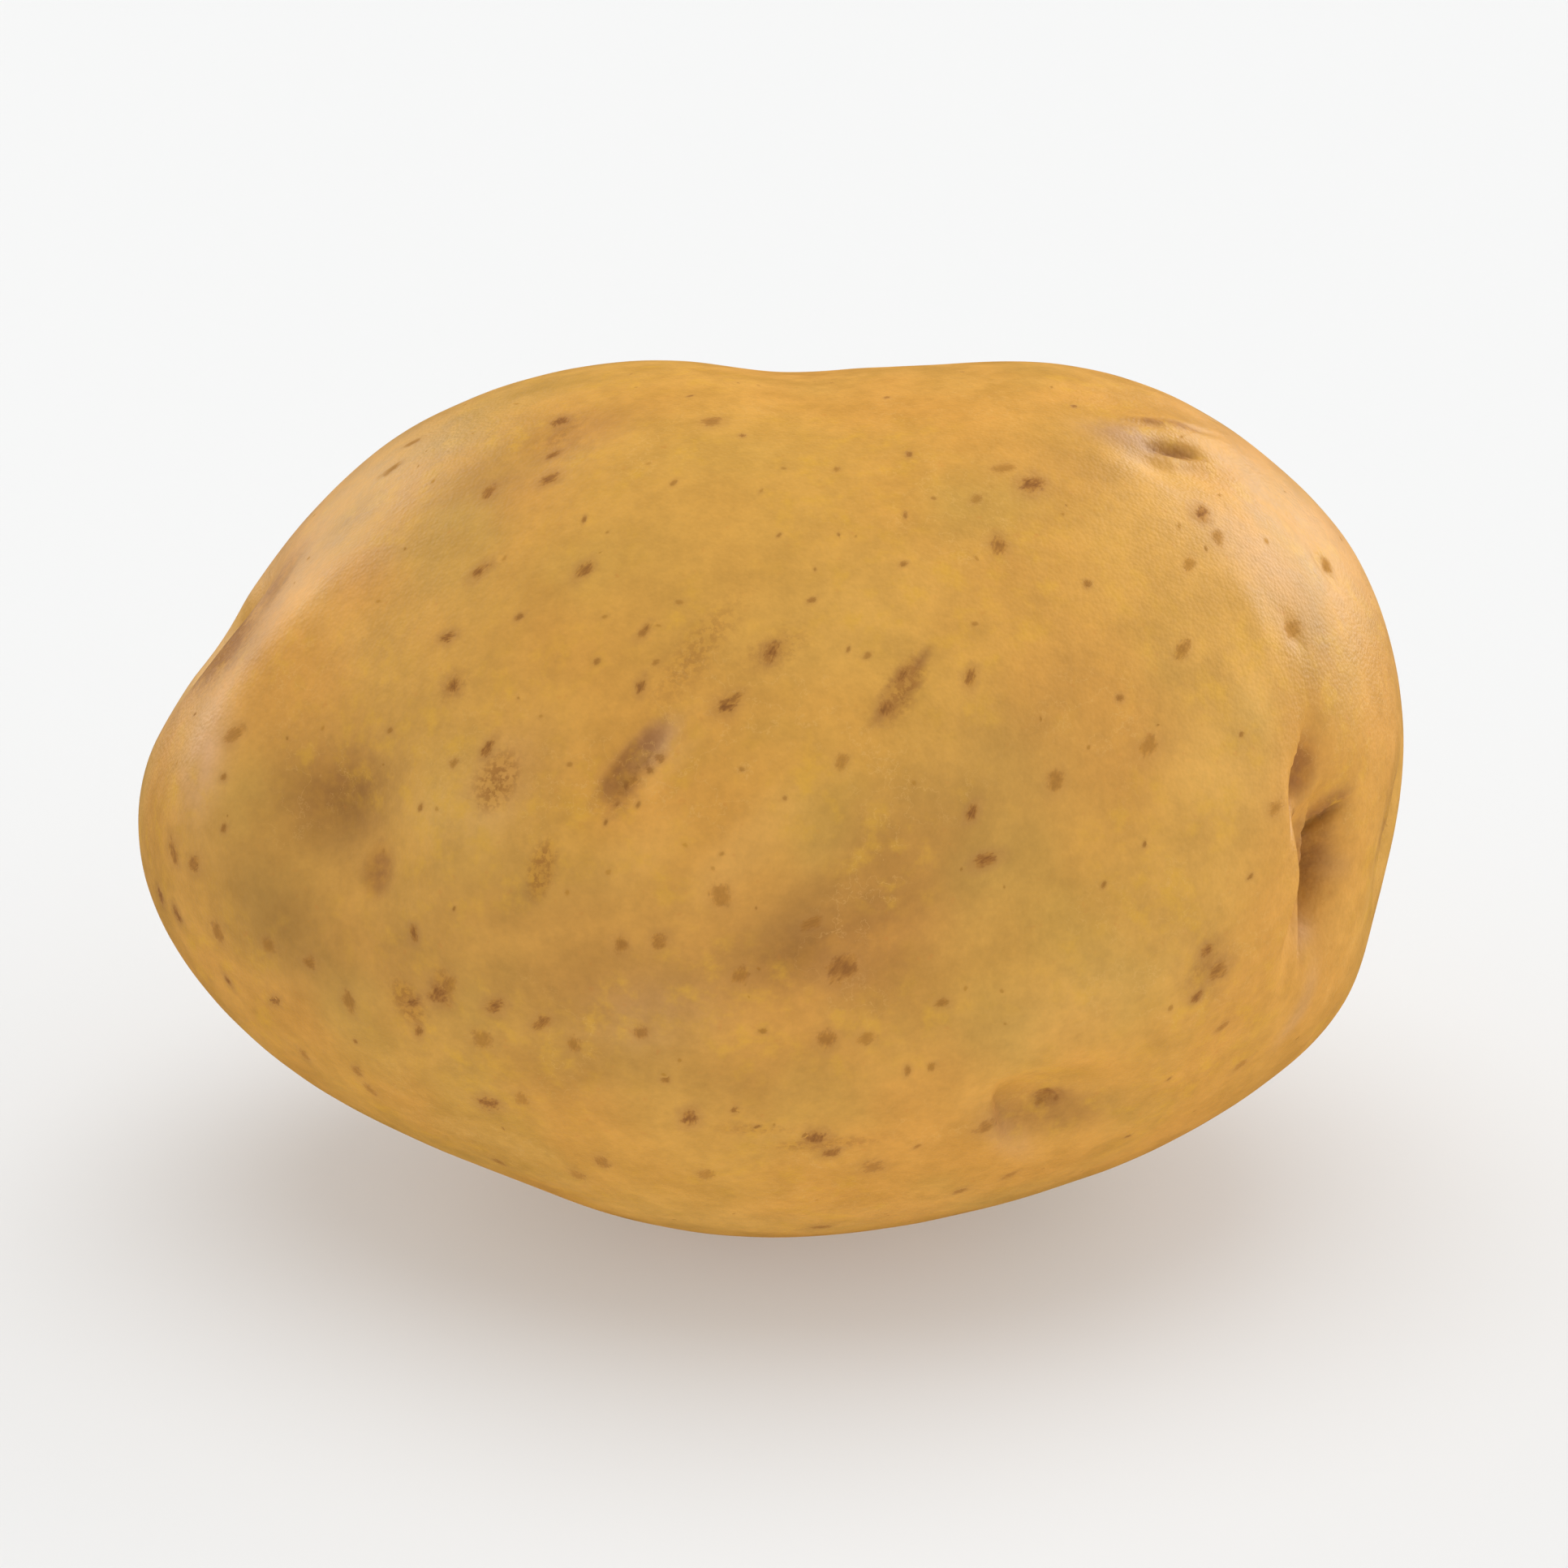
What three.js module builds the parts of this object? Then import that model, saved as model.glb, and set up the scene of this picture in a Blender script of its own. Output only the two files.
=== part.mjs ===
// A yellow-skinned table potato lying on its underside: one closed solid, in millimetres, +Z up, +X along the tuber.
//
// The tuber is shaped in its own frame: x to the right along its length, y away from its broad near face and z up
// that face. It starts as a smooth body, an egg-like ellipsoid that takes the outline of the broad face, and its
// swellings, hollows and eyes are then raised from that surface or sunk into it. Last, the tuber leans back on its
// heel, and the underside is pressed flat where it rests.
import * as THREE from "three";
import { mergeVertices } from "three/addons/utils/BufferGeometryUtils.js";

const NEAR = 1;
const FAR = -1;
const radians = THREE.MathUtils.degToRad;

// Driving dimensions of the body
const HALF_LENGTH = 47.7;
const HALF_HEIGHT = 33.2;
const HALF_DEPTH = 36;
const LONG_AXIS_RISE = radians(3); // the right end sits a little higher than the left
const EGG = 0.07; // how much deeper the right end is than the middle, and the left end shallower
const LEAN_BACK = radians(22.5); // the broad face looks up by this much
const FOOT_DEPTH = 1.6; // how much of the underside is pressed flat: about 24 mm across
const SKIN = "#d29b4c";

// The outline of the broad face, right and up from its middle, anticlockwise from the right end
const RIM = [
  [47.8, 2.0],
  [47.0, 11.5],
  [43.4, 20.0],
  [37.8, 25.7],
  [30.6, 30.5],
  [21.4, 33.1],
  [10.8, 32.8],
  [0.5, 33.0],
  [-10.5, 33.2],
  [-19.5, 31.5],
  [-27.8, 27.8],
  [-33.8, 22.6],
  [-38.9, 16.3],
  [-44.1, 8.9],
  [-47.3, 2.6],
  [-47.4, -5.5],
  [-43.6, -13.0],
  [-36.7, -19.9],
  [-28.0, -24.9],
  [-19.2, -28.5],
  [-10.4, -31.6],
  [-0.5, -32.9],
  [9.9, -32.0],
  [19.4, -29.8],
  [28.7, -26.4],
  [36.9, -21.6],
  [43.3, -15.6],
  [45.9, -6.9],
];
const RIM_STEPS = 360; // radii kept, one a degree
const RIM_SOFTENING = 4; // degrees each way over which the radii are averaged
const RIM_FADE = 1.6; // how fast the outline turns into the plain ellipse towards the middle of a face

// Broad swellings and hollows. at is the face and the place on it, right and up; long and short are the distances
// from the middle at which a form has faded to a third; lean turns its long side up from the horizontal, as seen
// from outside; rise is its height, below zero for a hollow. edge over 1 gives steeper walls and a flatter middle.
const BROAD_FORMS = [
  { name: "hollow behind the nose", at: [NEAR, -30.5, -2.0], long: 8.4, short: 7.4, lean: 90, rise: -2.3 },
  { name: "nose", at: [NEAR, -42.0, 0.0], long: 8, short: 5, lean: 75, rise: 0.6 },
  { name: "shoulder over the nose", at: [NEAR, -35.0, 11.0], long: 11, short: 3.4, lean: 56, rise: 1.0 },
  { name: "slanting ridge", at: [NEAR, 4.0, -1.0], long: 13, short: 5.2, lean: 36, rise: 1.5 },
  { name: "shelf left of the ridge", at: [NEAR, -13.0, -4.0], long: 12, short: 5.4, lean: 4, rise: 0.9 },
  { name: "valley below the ridge", at: [NEAR, 14.0, -8.5], long: 14, short: 6.0, lean: 43, rise: -1.6 },
  { name: "right cheek", at: [NEAR, 28.0, -12.5], long: 14, short: 7, lean: 52, rise: 0.9 },
  { name: "right shoulder", at: [NEAR, 34.0, 14.0], long: 12, short: 8, lean: -50, rise: 0.5 },
  { name: "saddle on the crown", at: [NEAR, 1.5, 32.5], long: 16, short: 5.5, lean: 90, rise: -0.7 },
  { name: "left crown", at: [FAR, -10.0, 31.0], long: 9, short: 8, lean: 0, rise: 0.4 },
  { name: "hollow on the back", at: [FAR, -12.0, 6.0], long: 13, short: 7, lean: 35, rise: -1.5 },
  { name: "hip on the back", at: [FAR, 18.0, -4.0], long: 15, short: 10, lean: -20, rise: 1.2 },
  { name: "heel", at: [FAR, -4.0, -20.0], long: 22, short: 11, lean: 0, rise: 1.3 },
];

// The eyes, each a pit under a brow, and the shallow dimples
const EYES = [
  { name: "eye in the middle", at: [NEAR, -9.0, 1.0], long: 4.8, short: 2.0, lean: 48, rise: -1.1, edge: 1.2 },
  { name: "upper right eye", at: [NEAR, 28.8, 24.2], long: 3.8, short: 1.1, lean: -8, rise: -1.4, edge: 1.2 },
  { name: "upper right brow", at: [NEAR, 29.0, 27.0], long: 4.8, short: 1.6, lean: -10, rise: 0.7 },
  { name: "upper right lump", at: [NEAR, 24.6, 25.4], long: 3.4, short: 2.2, lean: -15, rise: 0.4 },
  { name: "lower right eye", at: [NEAR, 20.2, -21.2], long: 5.2, short: 3.4, lean: 0, rise: -1.8, edge: 1.6 },
  { name: "lower right lip", at: [NEAR, 15.0, -23.0], long: 3.4, short: 1.7, lean: -52, rise: 0.5 },
  { name: "left eye", at: [NEAR, -41.0, 12.5], long: 6.0, short: 2.8, lean: 62, rise: -1.7, edge: 1.2 },
  { name: "crown dimple", at: [NEAR, -15.5, 25.1], long: 3.6, short: 2.0, lean: 55, rise: -0.4 },
  { name: "cheek dimple", at: [NEAR, 30.5, -10.8], long: 2.6, short: 2.2, lean: 40, rise: -0.5 },
  { name: "brown dimple", at: [NEAR, -27.1, -5.0], long: 2.2, short: 1.7, lean: 70, rise: -0.5 },
  { name: "heel dimple", at: [FAR, -36.6, -19.8], long: 4.0, short: 2.4, lean: -20, rise: -0.8 },
  { name: "back eye", at: [FAR, 14.0, 15.0], long: 5.2, short: 2.2, lean: -20, rise: -1.6, edge: 1.3 },
  { name: "back brow", at: [FAR, 13.0, 18.2], long: 6.0, short: 1.8, lean: -20, rise: 0.7 },
  { name: "far left eye", at: [FAR, -27.0, 2.0], long: 4.4, short: 2.0, lean: 40, rise: -1.3, edge: 1.2 },
  { name: "far right eye", at: [FAR, 33.0, -11.0], long: 4.2, short: 2.0, lean: -55, rise: -1.3, edge: 1.2 },
];

// The folded right end. A fold is a hollow with one wall only: the skin drops over a lip within the width of the
// lip, to the right of its long side when that points up, and climbs again slowly beyond.
const FOLDS = [
  { name: "swelling along the lip", at: [NEAR, 35.6, -4.0], long: 7.0, short: 2.0, lean: 90, rise: 0.3 },
  { name: "upper fold", at: [NEAR, 37.0, 1.4], long: 3.0, short: 3.0, lean: 80, rise: -1.9, lip: 0.45 },
  { name: "lower fold", at: [NEAR, 37.8, -5.4], long: 5.6, short: 4.4, lean: 90, rise: -3.0, lip: 0.45 },
  { name: "branch of the fold", at: [NEAR, 39.2, -0.9], long: 3.4, short: 1.5, lean: 38, rise: -1.4, lip: 0.4 },
  { name: "end fold", at: [NEAR, 45.6, -1.5], long: 5.0, short: 3.0, lean: 78, rise: -1.0, lip: 0.6 },
];
const FORMS = [...BROAD_FORMS, ...EYES, ...FOLDS];
const FORM_REACH = 12; // how deep under the skin a form still counts, so that it stays off the far side

// The mesh is an icosphere, drawn together where the relief is finer. share is how much nearer its vertices come to
// the middle of such a place, and width how far that is felt, in radians.
const DETAIL = 22;
const CROWDS = [
  { at: [NEAR, 39.0, -3.0], share: 0.5, width: 0.42 },
  { at: [NEAR, -9.0, 1.0], share: 0.36, width: 0.3 },
  { at: [NEAR, 28.8, 25.0], share: 0.42, width: 0.3 },
  { at: [NEAR, 18.5, -21.5], share: 0.36, width: 0.32 },
  { at: [NEAR, -40.0, 12.5], share: 0.4, width: 0.36 },
  { at: [FAR, 14.0, 16.0], share: 0.36, width: 0.3 },
];

// The radius of the outline at each degree, softened a little
function measureRim() {
  const points = RIM.map(([x, z]) => new THREE.Vector3(x, 0, z));
  const outline = new THREE.CatmullRomCurve3(points, true, "centripetal");
  const sampled = outline.getPoints(4 * RIM_STEPS).slice(1);
  const sharp = Array.from({ length: RIM_STEPS }, (_, degree) => {
    const ray = new THREE.Vector3(Math.cos(radians(degree)), 0, Math.sin(radians(degree)));
    const nearest = sampled.reduce((a, b) => (b.angleTo(ray) < a.angleTo(ray) ? b : a));
    return nearest.length();
  });
  return sharp.map((_, degree) => {
    let sum = 0;
    for (let step = -RIM_SOFTENING; step <= RIM_SOFTENING; step++)
      sum += sharp[(degree + step + RIM_STEPS) % RIM_STEPS];
    return sum / (2 * RIM_SOFTENING + 1);
  });
}
const RIM_RADII = measureRim();

function rimRadius(angle) {
  const degree = THREE.MathUtils.euclideanModulo(THREE.MathUtils.radToDeg(angle), RIM_STEPS);
  const below = Math.floor(degree) % RIM_STEPS;
  return THREE.MathUtils.lerp(RIM_RADII[below], RIM_RADII[(below + 1) % RIM_STEPS], degree - Math.floor(degree));
}

function ellipseRadius(angle) {
  const turned = angle - LONG_AXIS_RISE;
  return 1 / Math.hypot(Math.cos(turned) / HALF_LENGTH, Math.sin(turned) / HALF_HEIGHT);
}

// The smooth body's surface in a direction, a unit vector
function body(direction) {
  const around = Math.atan2(direction.z, direction.x);
  const inFace = Math.hypot(direction.x, direction.z); // 1 on the rim, 0 in the middle of either face
  const radius = THREE.MathUtils.lerp(ellipseRadius(around), rimRadius(around), inFace ** RIM_FADE);
  const depth = HALF_DEPTH * (1 + EGG * direction.x);
  return new THREE.Vector3(radius * direction.x, depth * direction.y, radius * direction.z);
}

function outward(point) {
  return new THREE.Vector3(
    point.x / HALF_LENGTH ** 2,
    point.y / HALF_DEPTH ** 2,
    point.z / HALF_HEIGHT ** 2,
  ).normalize();
}

// The place on the body that lies so far right and up on its near or far face
function onBody([side, right, up]) {
  const around = Math.atan2(up, right);
  const wanted = Math.hypot(right, up);
  let [middle, rim] = [0, 1];
  for (let halving = 0; halving < 40; halving++) {
    const inFace = (middle + rim) / 2;
    const trial = body(directionAt(around, inFace, side));
    if (Math.hypot(trial.x, trial.z) < wanted) middle = inFace;
    else rim = inFace;
  }
  return body(directionAt(around, rim, side));
}

function directionAt(around, inFace, side) {
  const toFace = Math.sqrt(Math.max(0, 1 - inFace ** 2));
  return new THREE.Vector3(inFace * Math.cos(around), -side * toFace, inFace * Math.sin(around));
}

// A form with its own axes: along its long side, across it and out of the skin
function placeForm(form) {
  const centre = onBody(form.at);
  const out = outward(centre);
  const up = new THREE.Vector3(0, 0, 1).projectOnPlane(out).normalize();
  const right = new THREE.Vector3().crossVectors(up, out);
  const along = right.clone().multiplyScalar(Math.cos(radians(form.lean)));
  along.addScaledVector(up, Math.sin(radians(form.lean)));
  const across = new THREE.Vector3().crossVectors(out, along);
  return { ...form, centre, out, along, across };
}
const PLACED = FORMS.map(placeForm);

function riseOf(form, point) {
  const offset = point.clone().sub(form.centre);
  const beside = -offset.dot(form.across);
  const spread = Math.hypot(
    offset.dot(form.along) / form.long,
    beside / form.short,
    offset.dot(form.out) / FORM_REACH,
  );
  const overLip = form.lip ? THREE.MathUtils.smoothstep(beside, -form.lip, form.lip) : 1;
  return form.rise * overLip * Math.exp(-(spread ** (2 * (form.edge ?? 1))));
}

// Draws a direction towards the crowded places, so that more faces fall there
function crowd(direction) {
  const drawn = direction.clone();
  for (const { target, share, width } of DRAWN_TOGETHER) {
    const away = drawn.angleTo(target);
    if (away < 1e-6) continue;
    const kept = 1 - share * Math.exp(-((away / width) ** 2));
    const axis = new THREE.Vector3().crossVectors(target, drawn).normalize();
    drawn.copy(target).applyAxisAngle(axis, away * kept);
  }
  return drawn.normalize();
}
const DRAWN_TOGETHER = CROWDS.map((place) => ({ ...place, target: towards(onBody(place.at)) }));

function towards(point) {
  return new THREE.Vector3(point.x / HALF_LENGTH, point.y / HALF_DEPTH, point.z / HALF_HEIGHT).normalize();
}

function skinPoint(direction) {
  const base = body(crowd(direction));
  const rise = PLACED.reduce((sum, form) => sum + riseOf(form, base), 0);
  return base.clone().addScaledVector(outward(base), rise);
}

function makeTuber() {
  const sphere = new THREE.IcosahedronGeometry(1, DETAIL);
  sphere.deleteAttribute("normal");
  sphere.deleteAttribute("uv");
  const geometry = mergeVertices(sphere);
  const places = geometry.getAttribute("position");
  const direction = new THREE.Vector3();
  for (let i = 0; i < places.count; i++) {
    const point = skinPoint(direction.fromBufferAttribute(places, i).normalize());
    places.setXYZ(i, point.x, point.y, point.z);
  }
  geometry.rotateX(-LEAN_BACK);
  pressFoot(geometry);
  return geometry;
}

// Presses the underside flat, and puts the origin on it, under the middle of the whole
function pressFoot(geometry) {
  const places = geometry.getAttribute("position");
  geometry.computeBoundingBox();
  const floor = geometry.boundingBox.min.z + FOOT_DEPTH;
  for (let i = 0; i < places.count; i++) places.setZ(i, Math.max(places.getZ(i), floor));
  geometry.computeBoundingBox();
  const middle = geometry.boundingBox.getCenter(new THREE.Vector3());
  geometry.translate(-middle.x, -middle.y, -floor);
  geometry.computeVertexNormals();
}

const skin = new THREE.MeshStandardMaterial({ color: SKIN, roughness: 0.55, metalness: 0 });
const tuber = new THREE.Mesh(makeTuber(), skin);
tuber.name = "tuber";

const potato = new THREE.Group();
potato.add(tuber);
export default potato;
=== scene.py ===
# %% [markdown]
# # A yellow potato on a pale floor
# The frame holds the tuber as one closed solid, with its swellings, hollows, eyes and folds. This lesson
# gives that solid its skin: a finer mesh, the small relief of the eyes, the brown specks through which a
# tuber breathes, and a finish that is mottled, grained and slightly waxy.

# %% The frame
import math
import random

import bmesh
import bpy
import numpy as np
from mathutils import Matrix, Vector, noise
from mathutils.bvhtree import BVHTree


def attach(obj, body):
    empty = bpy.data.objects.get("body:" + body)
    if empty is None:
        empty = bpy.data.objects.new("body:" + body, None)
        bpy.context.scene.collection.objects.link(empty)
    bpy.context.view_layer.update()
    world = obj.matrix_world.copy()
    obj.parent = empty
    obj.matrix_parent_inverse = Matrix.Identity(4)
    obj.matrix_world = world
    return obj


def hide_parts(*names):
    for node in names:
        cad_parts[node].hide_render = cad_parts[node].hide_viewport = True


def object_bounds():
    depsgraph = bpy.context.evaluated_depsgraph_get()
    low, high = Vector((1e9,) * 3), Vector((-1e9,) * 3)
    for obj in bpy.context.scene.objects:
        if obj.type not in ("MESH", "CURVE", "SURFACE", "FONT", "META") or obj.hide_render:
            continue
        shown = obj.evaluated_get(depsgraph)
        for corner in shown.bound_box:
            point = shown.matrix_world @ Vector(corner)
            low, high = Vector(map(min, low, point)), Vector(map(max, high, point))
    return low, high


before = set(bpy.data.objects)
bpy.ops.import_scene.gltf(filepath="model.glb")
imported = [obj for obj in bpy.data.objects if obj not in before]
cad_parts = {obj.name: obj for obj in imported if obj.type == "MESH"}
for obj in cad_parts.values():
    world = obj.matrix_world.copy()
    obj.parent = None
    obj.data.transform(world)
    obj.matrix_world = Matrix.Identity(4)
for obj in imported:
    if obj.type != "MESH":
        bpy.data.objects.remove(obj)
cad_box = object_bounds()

MM = 0.001
print("CAD box in mm:", [[round(v / MM, 1) for v in corner] for corner in cad_box])

# %% [markdown]
# The camera comes before the skin, because the places of eyes and specks are read off the photograph:
# each is a pixel, and the line of sight through that pixel meets the skin at the real place. A long lens
# is used, as for most studio pictures of small things. Its distance follows from the tuber's length and
# from the number of pixels that this length takes up.

# %% Camera
PHOTO_SIDE = 1932
OUTLINE_PIXELS = 1562
OUTLINE_LENGTH = 96 * MM
LENS = 100.0  # Blender wants the lens and the sensor in millimetres
SENSOR = 36.0
LOOKING_DOWN = math.radians(22.5)
AIM_RIGHT = 1.0 * MM
AIM_UP = 0.6 * MM
NEAREST_SEEN = 10 * MM

FOCAL_PIXELS = PHOTO_SIDE * LENS / SENSOR
RIGHT = Vector((1, 0, 0))
UP = Vector((0, math.sin(LOOKING_DOWN), math.cos(LOOKING_DOWN)))
BACK = Vector((0, -math.cos(LOOKING_DOWN), math.sin(LOOKING_DOWN)))
middle = (cad_box[0] + cad_box[1]) / 2
distance = OUTLINE_LENGTH * FOCAL_PIXELS / OUTLINE_PIXELS
eye_point = middle + AIM_RIGHT * RIGHT + AIM_UP * UP + distance * BACK

camera = bpy.data.objects.new("camera", bpy.data.cameras.new("camera"))
camera.data.lens = LENS
camera.data.sensor_width = SENSOR
camera.data.clip_start = NEAREST_SEEN
camera.location = eye_point
camera.rotation_euler = (math.pi / 2 - LOOKING_DOWN, 0, 0)
bpy.context.collection.objects.link(camera)
bpy.context.scene.camera = camera
print("camera stands", round(distance, 3), "m from the middle of the tuber")


def sight(pixel):
    """The direction of sight through a pixel of the photograph."""
    across = (pixel[0] - PHOTO_SIDE / 2) / FOCAL_PIXELS
    upward = (PHOTO_SIDE / 2 - pixel[1]) / FOCAL_PIXELS
    return (across * RIGHT + upward * UP - BACK).normalized()


def line_to(spot):
    """A line onto the tuber: through a pixel of the photograph, or from the side away from the camera.

    A spot on the far side is ("behind", across, up), in millimetres right of and above the middle.
    """
    if spot[0] == "behind":
        return middle + spot[1] * MM * RIGHT + spot[2] * MM * UP - distance * BACK, BACK
    return eye_point, sight(spot)


# %% [markdown]
# A potato's skin is smooth between its marks, and its outline is judged from all sides, so it needs far
# more faces than the solid has. Halving every edge twice gives sixteen faces for one. The new points lie
# flat on the old faces, so the whole is relaxed a few times, which rounds the facets off. Most of the
# skin moves by a few hundredths of a millimetre, and the sharpest edges by about half a millimetre. A
# point that would end below the floor is put back onto it.

# %% A fine copy of the tuber
SAME_POINT = 0.001 * MM
CUTS = 2
RELAXINGS = 10
RELAXED_BY = 0.5
FLOOR_LEVEL = 0.0


def fine_copy(solid):
    """A finer, rounded copy of a solid, still as a bmesh."""
    fine = bmesh.new()
    fine.from_mesh(solid.data)
    bmesh.ops.remove_doubles(fine, verts=fine.verts, dist=SAME_POINT)
    for _ in range(CUTS):
        bmesh.ops.subdivide_edges(fine, edges=fine.edges, cuts=1, use_grid_fill=True)
    for _ in range(RELAXINGS):
        bmesh.ops.smooth_vert(
            fine, verts=fine.verts, factor=RELAXED_BY, use_axis_x=True, use_axis_y=True, use_axis_z=True
        )
    for vert in fine.verts:
        vert.co.z = max(vert.co.z, FLOOR_LEVEL)
    bmesh.ops.recalc_face_normals(fine, faces=fine.faces)
    return fine


fine = fine_copy(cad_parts["tuber"])
smooth_skin = BVHTree.FromBMesh(fine)
skin_mesh = bpy.data.meshes.new("tuber_skin")
fine.to_mesh(skin_mesh)
fine.free()
print("fine skin:", len(skin_mesh.vertices), "points,", len(skin_mesh.polygons), "faces")


def read(collection, field, width=3):
    """A field of many mesh elements as one array."""
    values = np.empty(len(collection) * width, np.float32)
    collection.foreach_get(field, values)
    return values.reshape(-1, width).astype(float)


points = read(skin_mesh.vertices, "co")
outward = read(skin_mesh.vertex_normals, "vector")

# %% [markdown]
# Each mark on the skin has a spot, a size and a lean. The photograph shows none of the far side, so the
# spots there are chosen, and given in millimetres. A `Place` finds the spot on the skin and sets up three
# axes there: along the mark's long side, across it and out of the skin. Everything that follows, relief,
# stain or speck, is measured along those axes in real millimetres.

# %% Places on the skin
DEPTH_FELT = 6 * MM


class Place:
    """A mark's spot on the skin, half its length and half its width in mm, and its lean in degrees."""

    def __init__(self, line, long, short, lean):
        start, direction = line
        self.centre, self.out, _, _ = smooth_skin.ray_cast(start, direction)
        if self.centre is None:  # the line of sight just misses the outline
            self.centre, self.out, _, _ = smooth_skin.find_nearest(start + distance * direction)
        upright = (UP - UP.dot(self.out) * self.out).normalized()
        sideways = upright.cross(self.out)
        turn = math.radians(lean)
        self.along = math.cos(turn) * sideways + math.sin(turn) * upright
        self.across = self.out.cross(self.along)
        self.long = long * MM
        self.short = short * MM

    def measure(self, where):
        """How far points are along, beside and above the mark, in half lengths, half widths and metres."""
        offset = where - np.array(self.centre)
        return (
            offset @ np.array(self.along) / self.long,
            -offset @ np.array(self.across) / self.short,
            offset @ np.array(self.out),
        )


def fade(place, where, edge=1.0):
    """1 in the middle of a mark, about a third at its edge and 0 well outside. A larger edge is firmer."""
    along, beside, above = place.measure(where)
    spread = along**2 + beside**2 + (above / DEPTH_FELT) ** 2
    return np.exp(-(spread**edge))


# %% [markdown]
# The eyes of a potato are where it would sprout: a small pit with a few scale-like buds, below a brow
# left by a leaf scar. The solid has the hollows, and here they get their edges. Each line gives a form's
# spot, half its length and half its width in millimetres, its lean in degrees and its rise in
# millimetres, which is negative for a dent. A `lip` makes one side of a pit fall steeply, as the skin
# does where the tuber folds in at its stem end.

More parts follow.
